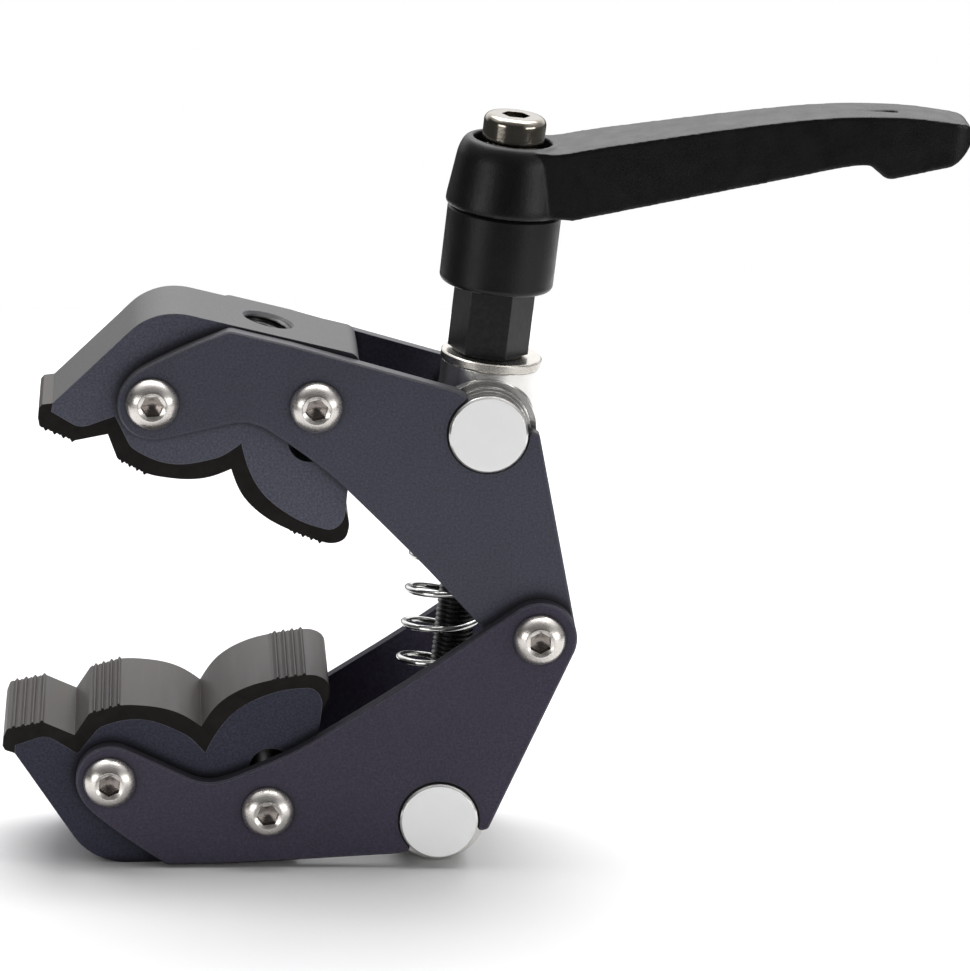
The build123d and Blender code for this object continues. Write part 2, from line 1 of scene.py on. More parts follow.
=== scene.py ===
import json
from math import sin, cos, radians, pi, sqrt, atan2, hypot
import bpy
import bmesh
import numpy as np
from mathutils import Vector, Matrix

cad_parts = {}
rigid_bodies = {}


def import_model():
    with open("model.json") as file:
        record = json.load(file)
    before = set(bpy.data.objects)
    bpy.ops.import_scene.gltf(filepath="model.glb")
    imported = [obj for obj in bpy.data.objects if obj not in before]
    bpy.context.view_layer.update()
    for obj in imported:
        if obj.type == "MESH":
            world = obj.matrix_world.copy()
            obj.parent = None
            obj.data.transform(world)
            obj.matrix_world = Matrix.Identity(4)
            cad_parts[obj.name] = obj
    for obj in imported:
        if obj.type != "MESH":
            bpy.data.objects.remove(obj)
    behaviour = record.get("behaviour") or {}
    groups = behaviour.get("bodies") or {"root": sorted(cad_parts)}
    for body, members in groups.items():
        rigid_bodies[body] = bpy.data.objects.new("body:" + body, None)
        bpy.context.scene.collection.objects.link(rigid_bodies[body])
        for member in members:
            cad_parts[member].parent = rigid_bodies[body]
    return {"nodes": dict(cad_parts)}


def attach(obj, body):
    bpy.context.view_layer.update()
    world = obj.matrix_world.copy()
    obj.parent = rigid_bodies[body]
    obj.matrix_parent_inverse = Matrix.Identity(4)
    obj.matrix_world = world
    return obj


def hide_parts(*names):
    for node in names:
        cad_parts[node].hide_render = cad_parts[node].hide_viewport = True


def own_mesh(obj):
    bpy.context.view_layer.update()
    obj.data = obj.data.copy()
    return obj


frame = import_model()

for o in [o for o in bpy.data.objects if o.name in ("Cube", "Light", "Camera")]:
    bpy.data.objects.remove(o, do_unlink=True)
bpy.context.view_layer.update()

scene = bpy.context.scene
nodes = frame["nodes"]
MM = 0.001

# --- places shared with the CAD, all in metres --------------------------------
U = Vector((-0.0005184, 0.0, 0.0900940))         # where the screw passes the upper pin
L = Vector((-0.0082228, 0.0, 0.0100787))         # lower swivel
SD = Vector((0.095844, 0.0, 0.995396)).normalized()   # screw axis, upwards
SX = Vector((SD.z, 0.0, -SD.x))                  # across the screw, towards the lever tip
SY = Vector((0.0, 1.0, 0.0))


def on_screw(r, a, s):
    """Point at radius r, angle a round the screw and height s along it, in millimetres."""
    return U + (SX * (r * cos(a)) + SY * (r * sin(a)) + SD * s) * MM


# ==============================================================================
# Materials
# ==============================================================================
class Shader:
    """Small helper that builds one node tree."""

    def __init__(self, name):
        self.mat = bpy.data.materials.new(name)
        self.mat.use_nodes = True
        self.nt = self.mat.node_tree
        self.nt.nodes.clear()
        self.out = self.nt.nodes.new("ShaderNodeOutputMaterial")
        self.bsdf = self.nt.nodes.new("ShaderNodeBsdfPrincipled")
        self.link(self.bsdf.outputs[0], self.out.inputs[0])
        self.tc = self.nt.nodes.new("ShaderNodeTexCoord")

    def link(self, a, b):
        self.nt.links.new(a, b)

    def new(self, kind, **props):
        n = self.nt.nodes.new(kind)
        for k, v in props.items():
            setattr(n, k, v)
        return n

    def coords(self, scale=(1000, 1000, 1000), rotation=(0, 0, 0), location=(0, 0, 0)):
        """Object coordinates in millimetres."""
        m = self.new("ShaderNodeMapping")
        m.inputs["Scale"].default_value = scale
        m.inputs["Rotation"].default_value = rotation
        m.inputs["Location"].default_value = location
        self.link(self.tc.outputs["Object"], m.inputs["Vector"])
        return m.outputs[0]

    def noise(self, vec, scale, detail=3.0, rough=0.5, distortion=0.0):
        n = self.new("ShaderNodeTexNoise")
        n.inputs["Scale"].default_value = scale
        n.inputs["Detail"].default_value = detail
        n.inputs["Roughness"].default_value = rough
        n.inputs["Distortion"].default_value = distortion
        self.link(vec, n.inputs["Vector"])
        return n.outputs["Fac"]

    def voronoi(self, vec, scale, out="Distance", feature="F1"):
        n = self.new("ShaderNodeTexVoronoi", feature=feature)
        n.inputs["Scale"].default_value = scale
        self.link(vec, n.inputs["Vector"])
        return n.outputs[out]

    def ramp(self, fac, stops, mode="LINEAR"):
        n = self.new("ShaderNodeValToRGB")
        n.color_ramp.interpolation = mode
        els = n.color_ramp.elements
        while len(els) < len(stops):
            els.new(0.5)
        for e, (p, c) in zip(els, stops):
            e.position = p
            e.color = (c, c, c, 1) if isinstance(c, (int, float)) else (*c, 1)
        self.link(fac, n.inputs[0])
        return n.outputs[0]

    def math(self, op, a, b=None, clamp=False):
        n = self.new("ShaderNodeMath", operation=op, use_clamp=clamp)
        for i, v in enumerate((a, b)):
            if v is None:
                continue
            if isinstance(v, (int, float)):
                n.inputs[i].default_value = v
            else:
                self.link(v, n.inputs[i])
        return n.outputs[0]

    def span(self, fac, a, b, lo, hi):
        n = self.new("ShaderNodeMapRange")
        self.link(fac, n.inputs["Value"])
        n.inputs["From Min"].default_value = a
        n.inputs["From Max"].default_value = b
        n.inputs["To Min"].default_value = lo
        n.inputs["To Max"].default_value = hi
        return n.outputs["Result"]

    def mix(self, fac, a, b, mode="MIX"):
        n = self.new("ShaderNodeMix", data_type="RGBA", blend_type=mode)
        for sock, v in ((n.inputs[0], fac), (n.inputs[6], a), (n.inputs[7], b)):
            if isinstance(v, (int, float)):
                sock.default_value = v
            elif isinstance(v, tuple):
                sock.default_value = (*v, 1)
            else:
                self.link(v, sock)
        return n.outputs[2]

    def rounded(self, radius):
        n = self.new("ShaderNodeBevel", samples=6)
        n.inputs["Radius"].default_value = radius
        return n.outputs[0]

    def edges(self, radius, lo=0.02, hi=0.25):
        """0 on flats, towards 1 within radius of a sharp edge."""
        g = self.new("ShaderNodeNewGeometry")
        d = self.new("ShaderNodeVectorMath", operation="DOT_PRODUCT")
        self.link(self.rounded(radius), d.inputs[0])
        self.link(g.outputs["Normal"], d.inputs[1])
        e = self.math("SUBTRACT", 1.0, d.outputs["Value"], clamp=True)
        return self.span(e, lo, hi, 0.0, 1.0)

    def occlusion_shade(self, distance, lo=0.52, hi=0.80):
        """1 in tight inner corners and gaps, 0 on open faces: a mask for painted shade where shadow falls."""
        n = self.new("ShaderNodeAmbientOcclusion", samples=8)
        n.inputs["Distance"].default_value = distance
        return self.span(n.outputs["AO"], lo, hi, 1.0, 0.0)

    def bump(self, height, strength, distance, normal=None):
        n = self.new("ShaderNodeBump")
        n.inputs["Strength"].default_value = strength
        n.inputs["Distance"].default_value = distance
        self.link(height, n.inputs["Height"])
        if normal is not None:
            self.link(normal, n.inputs["Normal"])
        return n.outputs[0]

    def base(self, **kw):
        for k, v in kw.items():
            sock = self.bsdf.inputs[k.replace("_", " ")]
            if isinstance(v, (int, float)):
                sock.default_value = v
            elif isinstance(v, tuple):
                sock.default_value = (*v, 1) if len(v) == 3 else v
            else:
                self.link(v, sock)
        return self.mat


def powder_coat(name, dark, light, rough=(0.42, 0.56), dust_bloom_and_top_sheen=0.8, spec=0.42, edge_shade_and_dull=0.0, edge_wear_and_highlight=0.60):
    s = Shader(name)
    mm = s.coords()
    grain = s.noise(mm, 2.1, 4.0, 0.72)
    cloud = s.noise(mm, 0.045, 2.0, 0.5)
    col = s.mix(s.ramp(grain, [(0.36, 0.0), (0.64, 1.0)]), tuple(0.78 * c for c in dark), tuple(1.22 * c for c in light))
    shade = s.span(cloud, 0.3, 0.7, 0.92, 1.08)
    col = s.mix(1.0, col, shade, "MULTIPLY")
    # pale grains in the texture
    flecks = s.ramp(s.voronoi(mm, 1.25), [(0.0, 1.0), (0.13, 0.0)])
    sparse = s.ramp(s.noise(mm, 0.8, 1.0), [(0.50, 0.0), (0.58, 1.0)])
    fleck = s.math("MULTIPLY", flecks, sparse)
    col = s.mix(s.math("MULTIPLY", fleck, 0.42), col, (0.26, 0.255, 0.27))
    # painted sheen: whatever faces up is lightened, as if it caught the overhead light
    g = s.new("ShaderNodeNewGeometry")
    xyz = s.new("ShaderNodeSeparateXYZ")
    s.link(g.outputs["Normal"], xyz.inputs[0])
    top = s.span(xyz.outputs["Z"], 0.25, 0.75, 0.0, 1.0)
    col = s.mix(s.math("MULTIPLY", top, dust_bloom_and_top_sheen), col, s.mix(grain, (0.040, 0.040, 0.0365), (0.066, 0.064, 0.0585)))
    # the edge faces, neither front nor back, are rougher, and darkened as painted shade
    side = s.span(s.math("ABSOLUTE", xyz.outputs["Y"]), 0.35, 0.75, edge_shade_and_dull, 0.0)
    col = s.mix(s.math("MULTIPLY", side, 0.8), col, (0.010, 0.009, 0.013))
    # the coat thins out on the edges to paler metal; where this is set strong, on the lower plates, it also paints
    # highlight lines along the edges
    edge = s.edges(0.00036, 0.02, 0.22)
    broken = s.math("MULTIPLY", edge, s.ramp(s.noise(mm, 1.4, 4.0, 0.75), [(0.36, 0.25), (0.58, 1.0)]))
    col = s.mix(s.math("MULTIPLY", broken, edge_wear_and_highlight), col, (0.25, 0.24, 0.25))
    # painted shade: the joints and inner corners between the pieces are darkened by ambient occlusion, where shadow
    # falls
    joint_shade = s.occlusion_shade(0.0027, 0.56, 0.86)
    col = s.mix(s.math("MULTIPLY", joint_shade, 0.88), col, (0.0050, 0.0048, 0.0052))
    r = s.math("ADD", s.span(grain, 0.3, 0.7, rough[0], rough[1]), s.math("MULTIPLY", side, 0.38))
    r = s.math("ADD", r, s.math("MULTIPLY", joint_shade, 0.25))
    orange = s.noise(mm, 1.9, 3.0, 0.55)
    tex = s.math("ADD", orange, s.math("MULTIPLY", s.noise(mm, 4.5, 2.0), 0.55))
    nrm = s.bump(tex, 0.42, 0.00006, s.rounded(0.00022))
    s.base(Base_Color=col, Roughness=r, Normal=nrm)
    s.bsdf.inputs["Specular IOR Level"].default_value = spec
    return s.mat


def lever_coat(name):
    s = Shader(name)
    mm = s.coords()
    grain = s.noise(mm, 3.4, 4.0, 0.7)
    col = s.mix(s.ramp(grain, [(0.35, 0.0), (0.7, 1.0)]), (0.0038, 0.0036, 0.0035), (0.0074, 0.0070, 0.0068))
    g = s.new("ShaderNodeNewGeometry")
    xyz = s.new("ShaderNodeSeparateXYZ")
    s.link(g.outputs["Normal"], xyz.inputs[0])
    # painted sheen: faces turned up are lightened, as if they caught the overhead light
    top = s.span(xyz.outputs["Z"], 0.70, 0.97, 0.0, 1.0)
    col = s.mix(s.math("MULTIPLY", top, 0.75), col, s.mix(grain, (0.018, 0.018, 0.0175), (0.034, 0.034, 0.033)))
    fleck = s.math("MULTIPLY", s.ramp(s.voronoi(mm, 1.9), [(0.0, 1.0), (0.075, 0.0)]),
                   s.ramp(s.noise(mm, 0.8, 1.0), [(0.58, 0.0), (0.66, 1.0)]))
    col = s.mix(s.math("MULTIPLY", fleck, 0.34), col, (0.24, 0.23, 0.22))
    r = s.span(s.noise(mm, 0.25, 3.0), 0.3, 0.7, 0.30, 0.40)
    tex = s.math("ADD", s.noise(mm, 2.3, 3.0, 0.6), s.math("MULTIPLY", s.noise(mm, 6.5, 2.0), 0.6))
    nrm = s.bump(tex, 0.50, 0.00007)
    s.base(Base_Color=col, Roughness=r, Normal=nrm)
    s.bsdf.inputs["Specular IOR Level"].default_value = 0.26
    return s.mat


def black_oxide(name, rough=(0.30, 0.42), base=(0.010, 0.010, 0.0105), worn=(0.20, 0.19, 0.18)):
    s = Shader(name)
    mm = s.coords()
    n = s.noise(mm, 1.1, 4.0, 0.6)
    col = s.mix(s.ramp(n, [(0.35, 0.0), (0.7, 1.0)]), base, tuple(1.9 * c for c in base))
    edge = s.edges(0.00030, 0.04, 0.35)
    broken = s.math("MULTIPLY", edge, s.ramp(s.noise(mm, 1.6, 3.0), [(0.42, 0.0), (0.62, 1.0)]))
    col = s.mix(s.math("MULTIPLY", broken, 0.5), col, worn)
    # fine drawn lines across the faces
    line = s.noise(s.coords(scale=(2500, 2500, 180), rotation=(0, -radians(6.12), 0)), 1.0, 3.0, 0.6)
    r = s.span(line, 0.3, 0.7, rough[0], rough[1])
    nrm = s.bump(line, 0.04, 0.00002, s.rounded(0.00025))
    s.base(Base_Color=col, Roughness=r, Normal=nrm, Metallic=0.0)
    s.bsdf.inputs["Specular IOR Level"].default_value = 0.30
    return s.mat


def steel(name, base, rough=(0.14, 0.24), grain=1.0, grime=(0.20, 0.17, 0.13), bump=0.08):
    """Bright metal with faint handling marks and a little grime in scattered spots."""
    s = Shader(name)
    mm = s.coords()
    cloud = s.noise(mm, 0.35, 3.0)
    col = s.mix(s.span(cloud, 0.3, 0.7, 0.0, 1.0), tuple(0.93 * c for c in base), base)
    marks = s.noise(s.coords(scale=(900, 900, 5200), rotation=(0.3, 0.9, 0.2)), 1.0, 3.0, 0.55)
    fine = s.noise(mm, 6.0 * grain, 3.0, 0.6)
    r = s.span(s.math("ADD", s.math("MULTIPLY", marks, 0.5), s.math("MULTIPLY", fine, 0.5)), 0.36, 0.64,
               rough[0], rough[1])
    spots = s.ramp(s.noise(mm, 1.3, 4.0, 0.65), [(0.60, 0.0), (0.74, 1.0)])
    col = s.mix(s.math("MULTIPLY", spots, 0.16), col, grime)
    nrm = s.bump(s.math("ADD", marks, fine), bump, 0.00002, s.rounded(0.00018))
    s.base(Base_Color=col, Roughness=r, Normal=nrm, Metallic=1.0)
    return s.mat


def pin_metal(name, tone=1.0):
    """Nickel plated pin: bright turned sides, and end faces blasted to a pale satin."""
    s = Shader(name)
    mm = s.coords()
    g = s.new("ShaderNodeNewGeometry")
    xyz = s.new("ShaderNodeSeparateXYZ")
    s.link(g.outputs["Normal"], xyz.inputs[0])
    at = s.new("ShaderNodeSeparateXYZ")
    s.link(mm, at.inputs[0])
    # only the two outer end faces are blasted
    face = s.math("MULTIPLY", s.span(s.math("ABSOLUTE", xyz.outputs["Y"]), 0.90, 0.98, 0.0, 1.0),
                  s.span(s.math("ABSOLUTE", at.outputs["Y"]), 14.7, 15.0, 0.0, 1.0))
    cloud = s.noise(mm, 0.22, 3.0)
    side = s.mix(s.span(cloud, 0.3, 0.7, 0.0, 1.0), (0.68, 0.665, 0.64), (0.78, 0.765, 0.74))
    pale = s.mix(s.span(cloud, 0.3, 0.7, 0.0, 1.0), (0.965 * tone, 0.965 * tone, 0.955 * tone),
                 (0.99 * tone, 0.99 * tone, 0.98 * tone))
    col = s.mix(face, side, pale)
    scratch = s.noise(s.coords(scale=(260, 3000, 3600), rotation=(0.0, 0.7, 0.0)), 1.0, 4.0, 0.6)
    fine = s.noise(mm, 5.0, 3.0, 0.6)
    marks = s.math("ADD", s.math("MULTIPLY", scratch, 0.5), s.math("MULTIPLY", fine, 0.5))
    r = s.math("ADD", s.span(marks, 0.36, 0.64, 0.16, 0.25), s.math("MULTIPLY", face, 0.30))
    dings = s.ramp(s.noise(mm, 1.7, 5.0, 0.7), [(0.66, 0.0), (0.73, 1.0)])
    col = s.mix(s.math("MULTIPLY", dings, 0.14), col, (0.42, 0.41, 0.39))
    nrm = s.bump(s.math("ADD", scratch, fine), 0.035, 0.00002, s.rounded(0.00022))
    s.base(Base_Color=col, Roughness=r, Normal=nrm, Metallic=s.math("MULTIPLY", s.math("SUBTRACT", 1.0, face), 0.92))
    return s.mat


def pad_rubber(name):
    s = Shader(name)
    mm = s.coords()
    g = s.new("ShaderNodeNewGeometry")
    xyz = s.new("ShaderNodeSeparateXYZ")
    s.link(g.outputs["Normal"], xyz.inputs[0])
    cut = s.span(s.math("ABSOLUTE", xyz.outputs["Y"]), 0.90, 0.98, 0.0, 1.0)
    n = s.noise(mm, 0.9, 4.0, 0.6)
    col = s.mix(s.ramp(n, [(0.3, 0.0), (0.75, 1.0)]), (0.0095, 0.0082, 0.0068), (0.0170, 0.0147, 0.0128))
    # a dusty bloom on the moulded faces that follows the moulding direction
    dust_bloom_and_top_sheen = s.noise(s.coords(scale=(420, 30, 420)), 1.0, 4.0, 0.6)
    dusty = s.mix(s.ramp(dust_bloom_and_top_sheen, [(0.38, 0.04), (0.72, 0.50)]), col, (0.078, 0.068, 0.059))
    col = s.mix(cut, dusty, s.mix(n, (0.0008, 0.0007, 0.0006), (0.0022, 0.0019, 0.0016)))
    dust = s.math("MULTIPLY", s.ramp(s.voronoi(mm, 1.1), [(0.0, 1.0), (0.06, 0.0)]),
                  s.ramp(s.noise(mm, 0.7, 1.0), [(0.60, 0.0), (0.68, 1.0)]))
    col = s.mix(s.math("MULTIPLY", dust, 0.35), col, (0.20, 0.19, 0.18))
    r = s.span(dust_bloom_and_top_sheen, 0.3, 0.7, 0.42, 0.56)
    streak = s.noise(s.coords(scale=(1500, 90, 1500)), 1.0, 3.0, 0.6)
    nrm = s.bump(s.math("ADD", streak, s.math("MULTIPLY", s.noise(mm, 4.0, 2.0), 0.5)), 0.12, 0.00004,
                 s.rounded(0.00012))
    r = s.math("ADD", r, s.math("MULTIPLY", cut, 0.30))
    s.base(Base_Color=col, Roughness=r, Normal=nrm)
    s.bsdf.inputs["Specular IOR Level"].default_value = 0.34
    s.bsdf.inputs["Specular Tint"].default_value = (1.0, 0.93, 0.89, 1)
    return s.mat


M = {
    "plate_hi": powder_coat("slate_coat_upper_arm", (0.0355, 0.0362, 0.0555), (0.0490, 0.0497, 0.0735), dust_bloom_and_top_sheen=0.6),
    # lower arm: a more purple tint of the same coat, also set darker as painted shade, with its edge faces darkened as
    # painted shade and strong pale edge lines as painted highlights
    "plate_lo": powder_coat("slate_coat_lower_arm", (0.0265, 0.0218, 0.0415), (0.0362, 0.0297, 0.0540), dust_bloom_and_top_sheen=0.12, spec=0.36, edge_shade_and_dull=1.0, edge_wear_and_highlight=0.85),
    "block": powder_coat("slate_coat_jaw", (0.0500, 0.0522, 0.0760), (0.0700, 0.0722, 0.1010), dust_bloom_and_top_sheen=0.90),
    # lower jaw: the same coat as the upper jaw, made darker as painted shade
    "block_lo": powder_coat("slate_coat_lower_jaw", (0.0210, 0.0218, 0.0375), (0.0300, 0.0310, 0.0510), dust_bloom_and_top_sheen=0.2, spec=0.22),
    "lever": lever_coat("lever_satin_black"),
    "oxide": black_oxide("black_oxide"),
    "thread": black_oxide("black_oxide_thread", (0.24, 0.36), (0.0055, 0.0055, 0.0055), (0.11, 0.10, 0.09)),
    "stainless": steel("stainless_polished", (0.68, 0.645, 0.605), (0.25, 0.34)),
    # a darker copy of the stainless for the hexagon sockets: painted shade inside them
    "recess": steel("stainless_socket_shade", (0.26, 0.23, 0.21), (0.22, 0.34)),
    "pin": pin_metal("pin_satin_nickel"),
    # lower pin: the same nickel, made slightly darker as painted shade against the light the floor throws up on it
    "pin_lo": pin_metal("pin_satin_nickel_lower", 0.97),
    # the accessory threads: bare metal made far darker than bare metal, painted shade inside the holes
    "tap": steel("tapped_hole_shaded", (0.085, 0.083, 0.082), (0.30, 0.45)),
    "washer": steel("washer_nickel", (0.60, 0.57, 0.52), (0.20, 0.34)),
    "cap": steel("cap_nickel", (0.35, 0.32, 0.272), (0.09, 0.17)),
    "spring": steel("spring_chrome", (0.66, 0.65, 0.63), (0.10, 0.18)),
    "sleeve": steel("turned_steel", (0.10, 0.098, 0.095), (0.30, 0.42)),
    "insert": steel("dark_insert", (0.20, 0.195, 0.19), (0.28, 0.40)),
    "rubber": pad_rubber("pad_rubber"),
}


def wear(obj, key):
    """Gives every slot of obj one material."""
    if not obj.material_slots:
        obj.data.materials.append(M[key])
    for sl in obj.material_slots:
        sl.material = M[key]
    return obj


LOOK = {
    "upper_front_plate": "plate_hi", "upper_rear_plate": "plate_hi",
    "lower_front_plate": "plate_lo", "lower_rear_plate": "plate_lo",
    "upper_jaw_block": "block", "lower_jaw_block": "block_lo",
    "upper_jaw_pad": "rubber", "lower_jaw_pad": "rubber",
    "upper_pivot_sleeve": "sleeve", "upper_stop_sleeve": "sleeve",
    "lower_pivot_sleeve": "sleeve", "lower_stop_sleeve": "sleeve",
    "hinge_sleeve": "sleeve", "hinge_washers": "washer",
    "upper_arm_screws": "stainless", "lower_arm_screws": "stainless", "hinge_screws": "stainless",
    "upper_trunnion": "pin", "lower_trunnion": "pin_lo",
    "clamp_screw": "thread", "thrust_washer": "washer", "hex_sleeve": "oxide",
    "lever_collar": "lever", "lever_insert": "insert", "lever_handle": "lever",
    "lever_spring": "spring", "lever_cap_screw": "cap", "clamp_spring": "spring",
}
for n, o in nodes.items():
    wear(o, LOOK[n])


# ==============================================================================
# Pieces that stand for CAD nodes with more detail
# ==============================================================================
def piece(name, verts, faces, key, body, smooth=True):
    me = bpy.data.meshes.new(name)
    me.from_pydata([tuple(v) for v in verts], [], faces)
    me.validate()
    ob = bpy.data.objects.new(name, me)
    scene.collection.objects.link(ob)
    if smooth:
        me.shade_smooth()
        me.set_sharp_from_angle(angle=radians(38))
    wear(ob, key)
    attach(ob, body)
    return ob


def thread_profile(t, depth, crest=0.16, root=0.22):
    """Depth below the crest at phase t (0..1) of one pitch."""
    t = t % 1.0
    flank = (1 - crest - root) / 2
    if t < crest / 2 or t > 1 - crest / 2:
        return 0.0
    if t < crest / 2 + flank:
        return depth * (t - crest / 2) / flank
    if t < crest / 2 + flank + root:
        return depth
    return depth * (1 - crest / 2 - t) / flank


def threaded_rod():
    """The clamping screw: thread from its tip to under the washer, then a plain shank."""
    seg, per = 36, 12
    pitch, depth = 1.0, 0.58
    s0, s1, top = -89.265, 13.5, 44.0
    rows = int(round((s1 - s0) / pitch * per))
    verts, faces = [], []
    for j in range(rows + 1):
        s = s0 + (s1 - s0) * j / rows
        fade = min(1.0, (s1 - s) / 1.5)
        lead = min(0.7, s - s0)
        for i in range(seg):
            a = 2 * pi * i / seg
            d = thread_profile((s - s0) / pitch - a / (2 * pi), depth) * fade
            r = min(3.985 - d, 3.3 + lead)
            verts.append(on_screw(r, a, s))
    for j in range(rows):
        for i in range(seg):
            k = (i + 1) % seg
            faces.append((j * seg + i, j * seg + k, (j + 1) * seg + k, (j + 1) * seg + i))
    last = rows * seg
    base = len(verts)
    for i in range(seg):
        verts.append(on_screw(3.985, 2 * pi * i / seg, top))
    for i in range(seg):
        k = (i + 1) % seg
        faces.append((last + i, last + k, base + k, base + i))
    lo_c, hi_c = len(verts), len(verts) + 1
    verts += [on_screw(0, 0, s0), on_screw(0, 0, top)]
    for i in range(seg):
        k = (i + 1) % seg
        faces.append((lo_c, k, i))
        faces.append((hi_c, base + i, base + k))
    ob = piece("threaded_screw", verts, faces, "thread", "screw")
    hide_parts("clamp_screw")
    return ob


def coil():
    """The opening spring: open coils, with each end turned in flat and ground."""
    wire, R, shift = 0.68, 7.7, 2.65
    lo, hi = -80.3854 + 9.9, -9.9
    turns_flat, pitch = 0.9, 7.35
    ring, per = 12, 40
    path, a, s = [], 0.0, lo + wire
    da = 2 * pi / per
    end = hi - wire
    total = (end - lo - wire)
    # phase so that the coils stand at the same heights as the real ones
    n_open = (total - 2 * turns_flat * 1.5) / pitch
    n_all = n_open + 2 * turns_flat
    steps = int(n_all * per)
    a0 = radians(156)
    for k in range(steps + 1):
        t = n_all * k / steps
        if t < turns_flat:
            s = lo + wire + 1.5 * t
        elif t < turns_flat + n_open:
            s = lo + wire + 1.5 * turns_flat + pitch * (t - turns_flat)
        else:
            s = lo + wire + 1.5 * turns_flat + pitch * n_open + 1.5 * (t - turns_flat - n_open)
        path.append((a0 + 2 * pi * t, s))
    path = [(a, min(s, end)) for a, s in path]
    pts = [Vector((R * cos(a) - shift, R * sin(a), s)) for a, s in path]
    verts, faces = [], []
    for k, p in enumerate(pts):
        q, r = pts[max(k - 1, 0)], pts[min(k + 1, len(pts) - 1)]
        tan = (r - q).normalized()
        out = Vector((cos(path[k][0]), sin(path[k][0]), 0))
        up = tan.cross(out).normalized()
        out = up.cross(tan).normalized()
        for i in range(ring):
            b = 2 * pi * i / ring
            v = p + (out * cos(b) + up * sin(b)) * wire
            v.z = min(max(v.z, lo + 0.15), hi - 0.15)
            verts.append(U + (SX * v.x + SY * v.y + SD * v.z) * MM)
    for k in range(len(pts) - 1):
        for i in range(ring):
            j = (i + 1) % ring
            faces.append((k * ring + i, (k + 1) * ring + i, (k + 1) * ring + j, k * ring + j))
    faces.append(tuple(range(ring)))
    faces.append(tuple(reversed([(len(pts) - 1) * ring + i for i in range(ring)])))
    ob = piece("coil_spring", verts, faces, "spring", "upper_swivel")
    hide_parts("clamp_spring")
    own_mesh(ob)
    return ob


def tapped(name, mouth, axis, body):
    """Helical crests of the accessory thread, inside a jaw's hole."""
    axis = axis.normalized()
    side = Vector((0, 1, 0))
    other = axis.cross(side)
    seg, per, pitch = 40, 10, 1.5875
    s0, s1 = -10.9, -0.55
    rows = int((s1 - s0) / pitch * per)
    verts, faces = [], []
    for j in range(rows + 1):
        s = s0 + (s1 - s0) * j / rows
        fade = min(1.0, (s1 - s) / 0.8)
        for i in range(seg):
            a = 2 * pi * i / seg
            d = thread_profile(s / pitch - a / (2 * pi), 0.80) * fade
            r = 4.78 - d
            verts.append(mouth + (side * (r * cos(a)) + other * (r * sin(a)) + axis * s) * MM)
    for j in range(rows):
        for i in range(seg):
            k = (i + 1) % seg
            faces.append((j * seg + i, (j + 1) * seg + i, (j + 1) * seg + k, j * seg + k))
    return piece(name, verts, faces, "tap", body)


def screws(name, node, body, places, shank):
    """Button heads with their sockets, front and rear, on short shanks."""
    seg = 60
    prof = [(5.20, 0.0), (5.23, 0.12), (5.20, 0.36), (5.02, 0.86), (4.72, 1.36), (4.30, 1.86), (3.80, 2.28),
            (3.30, 2.60), (2.95, 2.78), (2.86, 2.80), (2.80, 2.79), (2.46, 2.52)]
    verts, faces, dark = [], [], []
    for x, z, y0, turn_deg in places:
        for out in (-1, 1):
            t0 = radians(turn_deg)

            def put(r, a, h):
                verts.append(Vector((x + r * cos(a), out * (y0 + h), z + r * sin(a))) * MM)

            def band(a, b, mark=False):
                for i in range(seg):
                    k = (i + 1) % seg
                    q = (a + i, a + k, b + k, b + i)
                    faces.append(q if out < 0 else q[::-1])
                    dark.append(mark)

            rings = []
            for r, h in prof:
                rings.append(len(verts))
                for i in range(seg):
                    put(r, 2 * pi * i / seg, h)
            # hexagon socket: the same count of points, walked round a hexagon
            def hexa(af, h):
                rings.append(len(verts))
                for i in range(seg):
                    a = 2 * pi * i / seg
                    w = ((a - t0) % (pi / 3)) - pi / 6
                    put(af / 2 / cos(w), a, h)
            hexa(4.0, 2.36)
            hexa(3.9, 0.95)
            rings.append(len(verts))
            for i in range(seg):
                put(1.0, 2 * pi * i / seg, 0.55)
            for j in range(len(rings) - 1):
                band(rings[j], rings[j + 1], j >= len(prof))
            c = len(verts)
            put(0, 0, 0.15)
            for i in range(seg):
                k = (i + 1) % seg
                t = (rings[-1] + i, rings[-1] + k, c)
                faces.append(t if out < 0 else t[::-1])
                dark.append(True)
            # underside and shank
            r0 = len(verts)
            for i in range(seg):
                put(2.95, 2 * pi * i / seg, 0.0)
            r1 = len(verts)
            for i in range(seg):
                put(2.95, 2 * pi * i / seg, -shank)
            for a, b in ((r0, rings[0]), (r1, r0)):
                band(a, b)
            c = len(verts)
            put(0, 0, -shank)
            for i in range(seg):
                k = (i + 1) % seg
                t = (r1 + k, r1 + i, c)
                faces.append(t if out < 0 else t[::-1])
                dark.append(False)
    ob = piece(name, verts, faces, "stainless", body, smooth=False)
    # the socket faces take the darker stainless: painted shade in the sockets
    ob.data.materials.append(M["recess"])
    for p, d in zip(ob.data.polygons, dark):
        p.material_index = 1 if d else 0
    ob.data.shade_smooth()
    ob.data.set_sharp_from_angle(angle=radians(25))
    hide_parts(node)
    return ob


